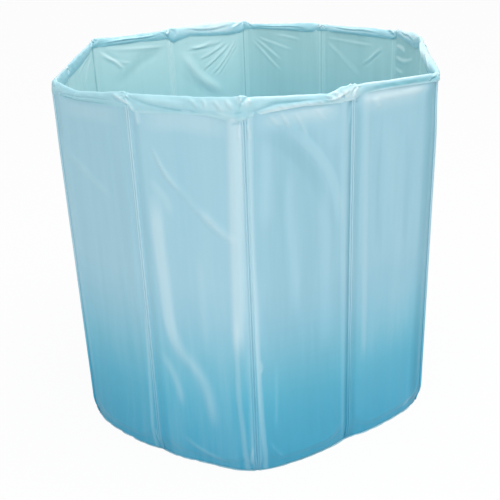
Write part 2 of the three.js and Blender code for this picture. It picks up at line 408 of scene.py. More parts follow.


# soft PVC film: colour by height, with a faint orange-peel skin. The pale attribute, with faint random streaks, mixes
# in a paler colour, partly film whitened by stretching and partly painted highlight, and below 0 a deeper one, painted
# shade
def pvcFilm(name, look):
    mat, tree, shader = newMaterial(name)
    place = wire(tree, "ShaderNodeTexCoord").outputs["Object"]
    height = wire(tree, "ShaderNodeSeparateXYZ", {0: place}).outputs["Z"]
    shift = look["cloudShift"]
    cloud = noise(tree, place, look["cloudScale"], 2.0)
    shifted = wire(tree, "ShaderNodeMath", {0: cloud, 1: shift, 2: height}, operation="MULTIPLY_ADD").outputs[0]
    level = spread(tree, shifted, shift / 2, film["wallHeight"] + shift / 2)
    ramp = wire(tree, "ShaderNodeValToRGB", {"Fac": level})
    ramp.color_ramp.interpolation = "B_SPLINE"
    stops = ramp.color_ramp.elements
    for i, (at, colour) in enumerate(look["heights"]):
        stop = stops[i] if i < 2 else stops.new(at)
        stop.position, stop.color = at, paint(colour)
    pale = wire(tree, "ShaderNodeAttribute", attribute_name="pale").outputs["Fac"]
    upright = wire(tree, "ShaderNodeVectorMath", {0: place, 1: (1.0, 1.0, film["streakStretch"])}, operation="MULTIPLY")
    streak = noise(tree, upright.outputs[0], film["streakScale"], 3.0, Roughness=0.6)
    tone = mathNode(tree, "ADD", pale, spread(tree, streak, 0.25, 0.75, -look["streak"], look["streak"]))
    # paler colour where the tone is above 0: partly film whitened by stretching, partly painted highlight
    tinted = mix(tree, tone, ramp.outputs["Color"], paint(look["stretched"]))
    deep = mathNode(tree, "MULTIPLY", tone, -1.0, use_clamp=True)
    # deeper colour where the tone is below 0: painted shade
    shaded = mix(tree, deep, tinted, paint(look["gathered"]), blend_type="MULTIPLY")
    tree.links.new(shaded, shader.inputs["Base Color"])
    gloss = noise(tree, place, film["glossScale"], 3.0)
    plasticSurface(tree, shader, place, gloss, (0.0, 1.0), look, film["grainDepth"])
    shader.inputs["Specular IOR Level"].default_value = film["specular"]
    shader.inputs["Coat Weight"].default_value = look["coat"]
    shader.inputs["Coat Roughness"].default_value = film["coatRoughness"]
    return mat


films = {
    "outer_pvc": {
        "heights": [(0.0, "3ba9cb"), (0.06, "3eabcd"), (0.19, "4eb5d3"), (0.26, "62bcd6"), (0.34, "7dc4da"),
                    (0.44, "97cce0"), (0.54, "a2d1e2"), (1.0, "a8d6e5")],
        "stretched": "d3edf5", "gathered": "68b2bb", "streak": 0.07, "cloudScale": 2.2, "cloudShift": 0.05,
        "rough": (0.27, 0.36), "grainScale": 260.0, "grain": 0.06, "coat": 0.25,
    },
    # the inner film is a paler copy of the same PVC: painted light against the shade inside the tub
    "inner_pvc": {
        "heights": [(0.0, "6cbccd"), (0.3, "92d0dc"), (0.6, "b0e2e9"), (0.8, "c2eaee"), (0.9, "caeef0"),
                    (1.0, "ceeff1")],
        "stretched": "e2f6f8", "gathered": "5aa6ac", "streak": 0.05, "cloudScale": 3.0, "cloudShift": 0.06,
        "rough": (0.3, 0.4), "grainScale": 240.0, "grain": 0.07, "coat": 0.15,
    },
    # the hem film turns paler in its top few centimetres: painted highlight along the crown
    "hem_pvc": {
        "heights": [(0.0, "9fd3e2"), (0.5, "a3d6e4"), (0.93, "a5d8e5"), (0.97, "abdce8"), (0.985, "b2e0eb"),
                    (1.0, "b9e4ee")],
        "stretched": "e6f8fc", "gathered": "6fc4cc", "streak": 0.04, "cloudScale": 6.0, "cloudShift": 0.02,
        "rough": (0.24, 0.33), "grainScale": 300.0, "grain": 0.05, "coat": 0.3,
    },
    "floor_pvc": {
        "heights": [(0.0, "a8d4e2"), (1.0, "a8d4e2")],
        "stretched": "dceff5", "gathered": "7fa9b5", "streak": 0.03, "cloudScale": 4.0, "cloudShift": 0.02,
        "rough": (0.32, 0.42), "grainScale": 200.0, "grain": 0.08, "coat": 0.1,
    },
}
finishes = {slot: pvcFilm(slot + "_film", look) for slot, look in films.items()}
print("film finishes made")

# heights round the rim: the hem's top, its lower line outside and its lower line inside
rim = {
    "top": [(1, 697), (1.06, 692.5), (1.37, 684.5), (1.7, 691), (1.92, 697), (2, 696), (2.5, 696.5), (2.95, 699.5),
        (3, 701), (3.06, 698), (3.51, 689.5), (3.76, 684.5), (3.88, 692), (4, 692), (4.5, 687), (4.97, 683),
        (5, 681.5), (5.05, 682), (5.31, 693), (5.71, 702), (5.9, 709), (6, 712), (6.36, 710), (6.81, 702),
        (6.97, 697), (7, 696), (7.06, 695), (7.24, 697), (7.59, 696), (7.95, 696), (8, 696), (8.12, 699), (8.66, 695),
        (8.93, 694.5), (8.98, 700), (9, 700.5), (9.06, 698), (9.27, 703.5), (9.6, 704), (9.87, 701), (9.97, 702.5),
        (10.04, 702.5), (10.1, 699), (10.66, 699), (10.91, 702), (10.98, 701.5), (11.04, 694.5), (11.5, 690),
        (11.86, 683), (11.96, 681), (12.02, 679), (12.4, 685.5), (12.88, 688.5), (12.96, 694.5)],
    "outerFoot": [(1, 671), (1.15, 671), (1.34, 669), (1.67, 671), (1.93, 672), (2.01, 674), (2.08, 666), (2.21, 667),
        (2.48, 669), (2.7, 669), (2.87, 664), (2.95, 663), (3, 665), (3.05, 669), (3.21, 671), (3.52, 672),
        (3.7, 669), (3.86, 667), (4, 668), (4.05, 672), (4.12, 675), (4.28, 675), (4.46, 674), (4.64, 672),
        (4.83, 670), (5, 667), (5.5, 670), (6, 676), (6.5, 674), (7, 668), (7.5, 669), (8, 670), (9, 672), (10, 672),
        (11, 672), (12, 659), (12.5, 660)],
    "innerFoot": [(1, 669), (1.4, 660), (2, 671), (3, 673), (3.76, 662), (4, 667), (5, 657), (5.56, 673), (5.8, 685),
        (6, 691), (6.18, 686), (6.5, 687), (6.8, 689), (6.9, 687), (7.03, 677), (7.18, 678), (7.43, 679), (7.7, 681),
        (8, 682), (8.2, 679), (8.45, 682), (8.75, 684), (9, 681), (9.08, 674), (9.27, 674), (9.48, 676), (9.74, 681),
        (9.88, 675), (9.95, 669), (10.03, 680), (10.18, 680), (10.4, 683), (10.65, 683), (10.97, 683), (11.5, 667),
        (12, 657), (12.5, 661)],
    "height": 700.0,
    "moveFrom": 655.0,     # the skins follow the rim's ups and downs above this height
    "moveOver": 35.0,
}
foot = {
    "lift": [(1, 1.8), (2, 2), (2.5, 1.8), (3.1, 2), (3.25, 3.6), (3.6, 4.2), (3.85, 3.4), (4, 2), (4.3, 2.6),
        (4.7, 3.2), (5, 2), (8.5, 2.2), (11.5, 1.8)],
    "tuckDepth": [(1, 7), (2, 7), (3, 9), (4, 4.5), (5, 9), (6, 7), (7, 6), (8, 5), (9, 5), (10, 5), (11, 6),
        (12, 8)],
    "bulge": [(1.5, 7), (2.5, 2), (3.5, 8), (4.5, 7), (5.5, 5), (6.5, 3.6), (11.5, 3.6), (12.5, 5)],
    "cornerStand": [(1, 1), (1.12, 0), (4.82, 0), (4.93, 2.8), (5.07, 2.8), (5.2, 0), (12.88, 0)],
    "liftOver": 50.0,
    "tuckHeight": 42.0,
    "tuckHalf": 26.0,
    "tuckEase": 1.3,
    "bulgeHeight": 55.0,
    "bulgeEase": 0.9,
    "standFrom": 560.0,
    "standOver": 90.0,
}


# moves the foot in at the weld lines and out between them
def footDepth(xs, zs):
    near = np.abs((xs + pitch / 2) % pitch - pitch / 2)
    tuck = roundWall(foot["tuckDepth"], xs) * np.exp(-(near / foot["tuckHalf"]) ** 2)
    share = (xs % pitch) / pitch
    low = smooth(1 - zs / foot["tuckHeight"]) ** foot["tuckEase"]
    swell = np.sin(math.pi * share) ** foot["bulgeEase"] * roundWall(foot["bulge"], xs)
    return -tuck[:, None] * low[None, :] + swell[:, None] * np.exp(-(zs[None, :] / foot["bulgeHeight"]) ** 2)


# how much further the outer skin stands out where it wraps the right-hand corner
def cornerStand(xs, zs):
    low = 1 - smooth((zs[None, :] - foot["standFrom"]) / foot["standOver"])
    return roundWall(foot["cornerStand"], xs)[:, None] * low


def skinHeights(xs, zs):
    top = roundWall(rim["top"], xs) - rim["height"]
    low = roundWall(foot["lift"], xs)
    high = smooth((zs[None, :] - rim["moveFrom"]) / rim["moveOver"])
    return zs[None, :] + top[:, None] * high + low[:, None] * (1 - smooth(zs[None, :] / foot["liftOver"]))


drain = {"panel": 6, "along": 100.0, "height": 62.0, "bore": 16.6, "calm": 34.0, "calmFade": 26.0}


def awayFromDrain(xs, zs):
    gx, gz = np.meshgrid(xs - (drain["panel"] - 1) * pitch - drain["along"], zs - drain["height"], indexing="ij")
    return np.hypot(gx, gz)


# a Geometry Nodes group with named inputs beside its geometry and its finish
def newTree(name, inputs):
    tree = bpy.data.node_groups.new(name, "GeometryNodeTree")
    face = tree.interface
    face.new_socket("Geometry", in_out="INPUT", socket_type="NodeSocketGeometry")
    for label, value in inputs.items():
        kind = "NodeSocketInt" if isinstance(value, int) else "NodeSocketFloat"
        face.new_socket(label, in_out="INPUT", socket_type=kind).default_value = value
    face.new_socket("Finish", in_out="INPUT", socket_type="NodeSocketMaterial")
    face.new_socket("Geometry", in_out="OUTPUT", socket_type="NodeSocketGeometry")
    return tree, wire(tree, "NodeGroupInput").outputs


def closeTree(tree, geometry, finish):
    real = wire(tree, "GeometryNodeRealizeInstances", {0: geometry})
    done = wire(tree, "GeometryNodeSetMaterial", {"Geometry": real.outputs[0], "Material": finish})
    wire(tree, "NodeGroupOutput", {0: done.outputs[0]})
    return tree


# Flat pattern to board pockets, in Geometry Nodes: the film stands off by the board's lift inside each board's outline.
pocket = {
    "Pitch": 0.2, "Board Width": 0.1654, "Board Height": 0.70, "Board Foot": 0.0208, "Corner Radius": 0.042,
    "Slope": 0.0105, "Lift": 0.0024,
}
slopeInside = -0.2     # the slope ends a fifth of its width inside the outline


def pocketTree():
    tree, given = newTree("boardPockets", pocket)

    def calc(operation, a, b=0.0, c=0.0):
        return wire(tree, "ShaderNodeMath", {0: a, 1: b, 2: c}, operation=operation).outputs[0]

    xyz = wire(tree, "ShaderNodeSeparateXYZ", {0: wire(tree, "GeometryNodeInputPosition").outputs[0]}).outputs
    halfPitch = calc("MULTIPLY", given["Pitch"], 0.5)
    fromMiddle = calc("ABSOLUTE", calc("SUBTRACT", calc("FLOORED_MODULO", xyz["X"], given["Pitch"]), halfPitch))
    middleUp = calc("MULTIPLY_ADD", given["Board Height"], 0.5, given["Board Foot"])
    fromMiddleUp = calc("ABSOLUTE", calc("SUBTRACT", xyz["Y"], middleUp))
    radius = given["Corner Radius"]
    qx = calc("SUBTRACT", fromMiddle, calc("SUBTRACT", calc("MULTIPLY", given["Board Width"], 0.5), radius))
    qy = calc("SUBTRACT", fromMiddleUp, calc("SUBTRACT", calc("MULTIPLY", given["Board Height"], 0.5), radius))
    px, py = calc("MAXIMUM", qx, 0.0), calc("MAXIMUM", qy, 0.0)
    outside = calc("SQRT", calc("ADD", calc("MULTIPLY", px, px), calc("MULTIPLY", py, py)))
    inside = calc("MINIMUM", calc("MAXIMUM", qx, qy), 0.0)
    distance = calc("SUBTRACT", calc("ADD", outside, inside), radius)
    raised = wire(tree, "ShaderNodeMapRange", {
        "Value": distance, "From Min": given["Slope"], "From Max": calc("MULTIPLY", given["Slope"], slopeInside),
        "To Min": 0.0, "To Max": given["Lift"]}, interpolation_type="SMOOTHSTEP").outputs["Result"]
    offset = wire(tree, "ShaderNodeCombineXYZ", {"Z": raised}).outputs[0]
    moved = wire(tree, "GeometryNodeSetPosition", {"Geometry": given["Geometry"], "Offset": offset})
    return closeTree(tree, moved.outputs[0], given["Finish"])


def baked(obj):
    return bpy.data.meshes.new_from_object(obj.evaluated_get(bpy.context.evaluated_depsgraph_get()))


# the mesh that a node tree makes of a mesh, by way of an object that is removed again
def throughTree(mesh, tree, values):
    obj = linked(mesh.name, mesh)
    mod = obj.modifiers.new(tree.name, "NODES")
    mod.node_group = tree
    for item in tree.interface.items_tree:
        if item.item_type == "SOCKET" and item.in_out == "INPUT" and item.name in values:
            mod[item.identifier] = values[item.name]
    bpy.context.view_layer.update()
    made = baked(obj)
    obj.modifiers.remove(mod)
    bpy.data.objects.remove(obj)
    bpy.data.meshes.remove(mesh)
    return made


pocketsTree = pocketTree()


def pocketLift(xs, zs, finish, sizes):
    gx, gz = np.meshgrid(xs, zs, indexing="ij")
    points = np.stack((gx, gz, np.zeros(gx.shape)), axis=2).reshape(-1, 3) * mm
    flat = bpy.data.meshes.new("flatPattern")
    flat.from_pydata(points.tolist(), [], gridQuads(*gx.shape).tolist())
    mesh = throughTree(flat, pocketsTree, dict(sizes, Finish=finish))
    co = np.zeros(len(mesh.vertices) * 3)
    mesh.vertices.foreach_get("co", co)
    bpy.data.meshes.remove(mesh)
    return co.reshape(-1, 3)[:, 2].reshape(gx.shape) / mm


def placed(xs, depth, heights):
    base, out = ringLine(xs)
    flat = base[:, None, :] + out[:, None, :] * depth[:, :, None]
    return np.concatenate((flat, heights[:, :, None]), axis=2)


def bodySlot(obj, number, slot):
    obj.data.materials.clear()
    obj.data.materials.append(finishes[slot])
    if number:
        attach(obj, panelBody(number))
    return obj


# fixes a strip over weld line k, between panels k-1 and k, where it stands, by baking its placement into its mesh
def bendOver(obj, k):
    t = alongPanel[k - 2] + alongPanel[k - 1]
    t = t / np.linalg.norm(t) * ring["bendHalf"]
    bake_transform(obj)


# Cuts a sheet that goes right round the wall into a piece for each panel and a strip, which doesn't bend, for each weld
# line.
# look["cut"] is the width of the flat film, from one long edge to the other. keep drops faces.
def cutUp(name, look, xs, front, back, pale, turned=False, keep=None):
    def piece(label, low, high):
        cols = columnsBetween(xs, low, high)
        kept = keep[cols[:-1]] if keep is not None else None
        obj = shellMesh(name + label, front[cols], back[cols], kept, turned, pale[cols])
        return obj

    half, slot = ring["stripHalf"], look["slot"]
    for k in panelNumbers:
        weld = (k - 1) * pitch
        panel = bodySlot(piece("%02d" % k, weld + half, weld + pitch - half), k, slot)
        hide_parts(look["replaces"] % k)
        if k == ring["openLine"]:
            bodySlot(piece("Seam%02da" % k, weld - half, weld), k - 1, slot)
            bodySlot(piece("Seam%02db" % k, weld, weld + half), k, slot)
        else:
            bendOver(bodySlot(piece("Seam%02d" % k, weld - half, weld + half), 0, slot), k)


# the tones of the loose folds are partly film whitened by stretching and partly painted highlight
looseFold = {
    "diagonal": {"left": (0.12, 0.3), "run": (0.35, 0.6), "drop": (90, 170), "half": (4, 6.5), "height": (1.2, 2.2),
                 "bend": [(0, 0), (0.3, 0.5), (0.65, 0.75), (1, 1)], "tone": 0.3},
    "upright": {"at": (0.12, 0.88), "top": (380, 620), "run": (160, 420), "sway": [(0.5, 0.04), (1, 0.07)],
                "half": (6, 11), "height": (0.7, 1.6), "tone": 0.25},
}


# loose folds for panels that the photo doesn't show
def looseFolds(numbers, look):
    rng = np.random.default_rng(look["seed"])
    made = []

    def add(kind, shape, path):
        half, height = rng.uniform(*shape["half"]), rng.uniform(*shape["height"])
        made.append((kind, half, height * look["lift"], path, shape["tone"]))

    for k in numbers:
        shape = looseFold["diagonal"]
        for _ in range(look["diagonals"]):
            left, z = rng.uniform(*shape["left"]), rng.uniform(*look["heights"])
            run, drop = rng.uniform(*shape["run"]), rng.uniform(*shape["drop"])
            if rng.random() < 0.5:
                left, run = 1 - left, -run
            add("crease", shape, [(k + left + run * a, z - drop * b) for a, b in shape["bend"]])
        shape = looseFold["upright"]
        for _ in range(look["uprights"]):
            s, z, run = rng.uniform(*shape["at"]), rng.uniform(*shape["top"]), rng.uniform(*shape["run"])
            add("ridge", shape, [(k + s, z)] + [(k + s + rng.uniform(-w, w), z - run * b) for b, w in shape["sway"]])
    return made


wall = {
    "ends": (760, -60),      # the upright lines run past both ends of the film
    "hemFrom": 664.0,        # the folds die down under the hem: from here, over this height, by this share
    "hemOver": 16.0,
    "hemShare": 0.8,
    "troughOn": 0.5,         # a trough stops short of the board, and may be this much deeper beside it
    "troughBeside": 0.9,
    "drainFlat": 0.1,        # how much flatter the pocket is round the drain
}


def wallSkin(name, look):
    xs, zs, side = columns(look["step"], look["fine"], look["shown"]), look["rows"], look["side"]
    away = awayFromDrain(xs, zs)
    calm = smooth((away - drain["calm"]) / drain["calmFade"])
    lift = pocketLift(xs, zs, finishes[look["slot"]], dict(pocket, **look["pocket"]))
    onBoard = lift / (pocket["Lift"] / mm)
    free, pale = np.zeros(lift.shape), np.zeros(lift.shape)
    folds = listed(look) + looseFolds([k for k in panelNumbers if k not in look["shown"]], look["loose"])
    lines = look["uprights"]
    upright = [(k, line) for k in panelNumbers for line in lines["each"]]
    upright += [(k, line) for k in lines if k != "each" for line in lines[k]]
    for k, (u, half, height, tone) in upright:
        folds.append(("seam", half, height, [(k + u / pitch, z) for z in wall["ends"]], tone))
    for fold in folds:
        press(free, pale, xs, zs, fold)
    free *= 1 - wall["hemShare"] * smooth((zs[None, :] - wall["hemFrom"]) / wall["hemOver"])
    free += (swells(xs, zs, look["tension"]) + swells(xs, zs, look["swells"])) * onBoard
    deepest = wall["troughOn"] + wall["troughBeside"] * (1 - onBoard)
    free = np.where(free < 0, -deepest * np.tanh(-free / deepest), free)
    depth = look["weldDepth"] + lift * (1 - wall["drainFlat"] * (1 - calm)) + free * calm
    if side < 0:
        toFold = np.abs((xs + pitch) % (2 * pitch) - pitch)     # the odd weld lines fold inwards
        depth = np.minimum(depth, np.maximum(look["weldDepth"], ring["foldSlope"] * toFold)[:, None])
    depth = depth * side + footDepth(xs, zs) * (calm if side > 0 else calm * (1 - onBoard))
    if side > 0:
        depth += cornerStand(xs, zs)
    front = placed(xs, depth, skinHeights(xs, zs))
    back = front - gridNormals(front) * side * look["thickness"]
    middle = (away[:-1, :-1] + away[1:, :-1] + away[1:, 1:] + away[:-1, 1:]) / 4
    keep = np.concatenate((middle > drain["bore"], np.ones((1, len(zs) - 1), bool)))
    cutUp(name, look, xs, front, back, pale, turned=side < 0, keep=keep)
    print(name, "made:", len(folds), "folds,", front.shape[0], "columns")


outerSkin = {
    "slot": "outer_pvc", "replaces": "outer_skin_%02d", "held": "stretched", "side": 1,
    "weldDepth": 0.7, "thickness": 0.5, "cut": 690.0,
    "shown": (1, 2, 3, 4), "fine": 2.5, "step": 4.0,
    "rows": rows((0, 80, 3.2), (80, 500, 6.0), (500, 690, 2.8)),
    "tension": {"seed": 11, "count": 14, "across": (26, 70), "upright": (1500, 6000), "height": 0.22},
    "swells": {"seed": 5, "count": 12, "across": (90, 260), "upright": (160, 700), "height": 0.4},
    "pocket": {},
    # fold tones in these tables: above 0 partly film whitened by stretching and partly painted highlight, below 0
    # painted shade
    "crease": [
        (3.4, 1.5, 0.3, (2.19, 620), (2.245, 590), (2.3, 570), (2.37, 553), (2.45, 537)),
        (6, 1.9, 0.34, (2.56, 516), (2.68, 494), (2.78, 476), (2.85, 467), (2.93, 468)),
        (4, 0.9, 0.14, (2.25, 59), (2.36, 38), (2.57, 19), (2.76, 14)),
        (2.6, 1, 0.3, (3.05, 240), (3.072, 234), (3.076, 222), (3.056, 210)),
        (3, 1.2, 0.2, (3.12, 69), (3.195, 37), (3.284, 14)),
        (2.6, 1.3, 0.35, (3.304, 672.9), (3.354, 654.9), (3.403, 639)),
        (2.6, 1.3, 0.3, (3.423, 668.8), (3.493, 647.9), (3.562, 617)),
        (2.4, 1, 0.3, (3.195, 671), (3.254, 656), (3.324, 647)),
        (2.4, 1, 0.25, (3.612, 670.7), (3.671, 653.7), (3.751, 638.7)),
        (3, 1.5, 0.32, (4.965, 88), (4.935, 54), (4.9, 32), (4.773, 16), (4.675, 8)),
        (2.4, 1.6, 0.25, (2.98, 667), (2.965, 654), (2.955, 631.1)),
        (2.2, 1.4, 0.25, (3.02, 661.2), (3.035, 647.2), (3.05, 629.3)),
        (2.4, 1.4, 0.2, (3.99, 670.4), (3.975, 653.5), (3.96, 626.6)),
        (3, 1.8, 0.3, (1.955, 52), (1.975, 34), (1.99, 14)),
        (3, 1.4, 0.2, (2.97, 63), (2.95, 33), (2.94, 9)),
    ],
    "ridge": [
        (6.5, 1.2, 0.08, (2.194, 615), (2.245, 588), (2.324, 562), (2.425, 542), (2.526, 521), (2.636, 501),
         (2.755, 481), (2.85, 467), (2.92, 466)),
        (7.5, 0.9, 0.2, (2.14, 566), (2.19, 548), (2.27, 530), (2.31, 512), (2.32, 490)),
        (11, 1.5, 0.27, (2.21, 300), (2.278, 246), (2.369, 225), (2.451, 205), (2.523, 183), (2.563, 152),
         (2.584, 121), (2.6, 70)),
        (9, 0.6, 0.1, (2.57, 460), (2.56, 361), (2.56, 230)),
        (7, 0.9, 0.22, (2.1, 240), (2.13, 222), (2.2, 196), (2.26, 162), (2.3, 110)),
        (4, 2, 0.5, (2.085, 676), (2.09, 662), (2.095, 644)),
        (30, 0.4, 0.12, (3.493, 678.7), (3.741, 638.7), (3.92, 588.9)),
        (8, 0.8, 0.2, (3.165, 644.1), (3.175, 583.4), (3.16, 529.7), (3.155, 470)),
        (9.5, 0.7, 0.13, (3.38, 600), (3.37, 479), (3.41, 431), (3.43, 370), (3.43, 290)),
        (12, 0.8, 0.13, (3.66, 560), (3.7, 530), (3.73, 470), (3.745, 378), (3.72, 290), (3.71, 200)),
        (4.5, 0.6, 0.16, (3.22, 242), (3.215, 168), (3.195, 109), (3.195, 63)),
        (13, 0.7, 0.5, (3.04, 655), (3.2, 658), (3.4, 662), (3.65, 664), (3.9, 660)),
        (16, 0.3, 0.2, (3.3, 652), (3.6, 656), (3.98, 656)),
        (13, 0.5, 0.35, (3.98, 655), (4.25, 656), (4.55, 655), (4.9, 658)),
        (8, -0.3, -0.08, (4.294, 618.5), (4.303, 499), (4.322, 370)),
        (9, -0.3, -0.09, (4.629, 618.2), (4.658, 479), (4.677, 351)),
        (14, 0.5, 0.05, (4.383, 638.3), (4.5, 499), (4.549, 370), (4.578, 222)),
        (6, 0.8, 0.12, (1.07, 618), (1.075, 400), (1.08, 64)),
        (7, 0.9, 0.12, (1.046, 580), (1.219, 562), (1.476, 531), (1.766, 501)),
        # two grooves just under the hem, their deep tone painted shade
        (2.1, -1.3, -0.6, (2.88, 655), (2.925, 659), (2.965, 661), (2.995, 659), (3.02, 659.2), (3.045, 664.2)),
        (2.2, -0.8, -0.3, (3.98, 662.4), (4, 666.5), (4.03, 667.5), (4.06, 662.5)),
        (4.5, 1, 0.2, (4.205, 668.3), (4.254, 656.3), (4.294, 643.3)),
    ],
    "band": [
        (11.5, 1.4, 0.5, (2.17, 547), (2.186, 521), (2.186, 482), (2.191, 430), (2.204, 374), (2.212, 325),
         (2.224, 286), (2.26, 255), (2.33, 232)),
        (12, 0.9, 0.56, (2.935, 760), (2.93, 651), (2.91, 536), (2.897, 448), (2.893, 352), (2.875, 290),
         (2.87, 235)),
        (5, 1, 0.2, (2.88, 345), (2.857, 274), (2.852, 171), (2.882, 83), (2.9, 15), (2.905, -60)),
        (17, 0.5, 0.27, (2.08, 655), (2.4, 660), (2.7, 657), (2.95, 650)),
        (4.8, 0.8, 0.3, (3.046, 760), (3.046, 657.2), (3.028, 536.8), (3.027, 450), (3.04, 354), (3.043, 228),
         (3.065, 89), (3.09, 21), (3.1, -60)),
        (9, 1.5, 0.2, (3.31, 652), (3.5, 622), (3.66, 588), (3.785, 548), (3.86, 500), (3.885, 440)),
        (11, -0.5, -0.08, (3.1, 645), (3.27, 628), (3.43, 598), (3.56, 567), (3.67, 531), (3.745, 490), (3.77, 440)),
        (5, 0.3, 0.14, (3.9, 740), (3.905, 500.5), (3.915, 309), (3.92, 95), (3.93, -30)),
        (6.5, 0.5, 0.17, (4.13, 740), (4.132, 647.5), (4.145, 490), (4.164, 293), (4.168, 153)),
        # a pale band just under the hem on panel 04, painted light over the hem's shadow, and a wide pale patch low on
        # it, painted light
        (12.5, 0.7, 0.85, (3.97, 664), (4.1, 671), (4.28, 672), (4.46, 671), (4.64, 670), (4.83, 668), (4.97, 667)),
        (70, 0, 0.1, (4.08, 250), (4.5, 240), (4.95, 235)),
        (3.6, 0.5, 0.22, (1.972, 330), (1.965, 249), (1.935, 106), (1.92, 34), (1.93, -50)),
        (15, 0.3, 0.2, (1.02, 655), (1.5, 655), (1.95, 657)),
    ],
    # upright lines beside the weld lines: (distance from the line, half width, lift, tone). Their tones are painted
    # highlight and painted shade along the welds; the wide rows at the middles of panels 02 to 04 lighten or darken a
    # whole panel as painted light, and the deep rows at weld 05 are painted shade where the wall turns away.
    "uprights": {
        "each": [(-4.4, 1.2, -0.2, -0.24), (4.4, 1.2, -0.2, -0.24)],
        1: [(14, 9, 0.0, -0.06)],
        2: [(0, 6, 0.0, 0.1), (4.4, 1.4, 0.1, 0.2), (14, 8, -0.2, -0.12)],
        3: [(0, 10, 0.0, 0.28)],
        4: [(-6.5, 3.2, -0.3, -0.26), (1, 5, 0.0, 0.08), (10.5, 5.0, -0.2, -0.16)],
        5: [(-12, 19, 0.0, -0.36), (12, 8, 0.0, -0.2)],
        2.5: [(0, 98, 0.0, 0.06)], 3.5: [(0, 98, 0.0, -0.12)], 4.5: [(0, 98, 0.0, -0.04)],
    },
    "loose": {"seed": 31, "diagonals": 2, "uprights": 3, "heights": (420, 640), "lift": 1.0},
}
wallSkin("outerSkin", outerSkin)

innerSkin = {
    "slot": "inner_pvc", "replaces": "inner_skin_%02d", "held": "stretched", "side": -1,
    "weldDepth": 0.9, "thickness": 0.5, "cut": 690.0,
    "shown": (6, 7, 8, 9, 10, 11), "fine": 2.5, "step": 4.5,
    "rows": rows((0, 80, 6.0), (80, 480, 9.0), (480, 690, 2.8)),
    "tension": {"seed": 17, "count": 14, "across": (30, 80), "upright": (1500, 6000), "height": 0.2},
    "swells": {"seed": 8, "count": 12, "across": (90, 260), "upright": (160, 700), "height": 0.45},
    "pocket": {"Corner Radius": 0.012, "Slope": 0.014},
    # inner tones: pale rows are painted highlight at the welds, deep rows and the wide ones on panels 06 to 08 painted
    # shade
    "uprights": {
        "each": [(-6.5, 1.7, 0.7, 0.22), (6.5, 1.7, 0.7, 0.22), (0, 4.0, 0.3, 0.08), (0, 1.5, 1.2, 0.0)],
        8: [(4.4, 1.6, -0.2, -0.22)],
        9: [(4.2, 1.8, -0.3, -0.42)],
        10: [(0, 5.0, 0.0, 0.3)],
        11: [(0, 3.0, 0.0, -0.5), (-9, 4, 0.0, 0.15)],
        6.5: [(0, 104, 0.0, -0.18)], 7.5: [(0, 104, 0.0, -0.2)], 8.5: [(-8, 98, 0.0, -0.22)],
    },
    # fold tones as outside: above 0 partly film whitened by stretching and partly painted highlight, below 0 painted
    # shade
    "crease": [
        (3.4, 2.2, 0.4, (10.975, 675.7), (10.91, 671.7), (10.863, 662.7), (10.771, 651.7), (10.678, 635.7),
         (10.602, 619.7)),
        (3, 1, 0.15, (10.88, 659.7), (10.681, 643.6), (10.483, 636.4)),
        (2.8, 1.5, 0.3, (9.39, 664), (9.62, 651), (9.8, 649)),
        (2.8, 1.5, 0.3, (9.26, 657), (9.47, 634), (9.65, 622)),
        (2.8, 1.6, 0.3, (9.19, 656), (9.41, 621), (9.62, 594)),
        (2.8, 1.6, 0.3, (9.11, 666), (9.3, 614), (9.51, 579)),
        (2.6, 1.5, 0.25, (9.09, 658), (9.25, 617), (9.42, 576)),
        (3, 1.4, 0.2, (9.316, 662), (9.547, 649.4), (9.771, 654.5)),
        (2.8, 1.3, 0.08, (8.94, 664), (8.8, 638), (8.64, 605), (8.5, 579)),
        (2.8, 1.2, 0.08, (8.9, 666), (8.7, 638), (8.5, 606)),
        (2.8, 1, 0.08, (8.86, 666), (8.62, 650), (8.35, 633)),
        (3.2, 0.9, 0.1, (8.605, 673.9), (8.437, 668.1), (8.259, 658.4)),
        (3.2, 1, 0.05, (7.98, 664), (7.78, 635), (7.58, 602), (7.42, 580)),
        (3, 1.1, 0.1, (7.905, 658.6), (7.668, 625.1), (7.419, 585.8)),
        (3, 1.1, 0.06, (7.13, 657), (7.3, 633), (7.45, 609)),
        (3, 1.1, 0.1, (7.161, 659.6), (7.261, 639.6), (7.38, 615.6)),
        (3.4, 1, 0.1, (7.974, 669.4), (7.601, 663), (7.261, 658.5)),
        (4, 2.6, 0.45, (7.033, 653.9), (6.932, 664.1), (6.75, 667.6), (6.518, 663.1)),
        (4, 2.4, 0.45, (7.013, 643.9), (6.771, 640.5), (6.518, 645.1), (6.215, 661.8)),
        (4, 2, 0.35, (7.023, 619.9), (6.822, 614.4), (6.569, 618.9)),
        (3.5, 1.6, 0.25, (7.003, 634.9), (6.913, 600.1), (6.873, 560.2)),
        (3, 1.6, 0.3, (10.978, 673.9), (11.131, 662.3), (11.336, 645.8), (11.505, 611.3)),
        (3.2, 1.4, 0.25, (11.181, 674.4), (11.384, 670), (11.678, 647.7)),
        (3, 1, 0.2, (10.968, 665.9), (11.028, 630), (11.068, 580.1)),
    ],
    "ridge": [
        (11, -1.8, -0.2, (10.04, 664), (10.21, 655), (10.42, 642), (10.61, 617), (10.83, 591)),
        (4, 1.4, 0.35, (10.94, 681.7), (10.658, 672.4), (10.335, 667), (10.027, 662.7)),
        (11, 3, 0.34, (9.915, 652), (9.855, 640), (9.76, 612), (9.64, 580), (9.47, 555), (9.3, 533)),
        (8, -1.2, -0.08, (9.95, 618), (9.84, 592), (9.71, 563), (9.55, 541), (9.36, 515)),
    ],
    "loose": {"seed": 77, "diagonals": 2, "uprights": 2, "heights": (520, 650), "lift": 0.9},
}
wallSkin("innerSkin", innerSkin)

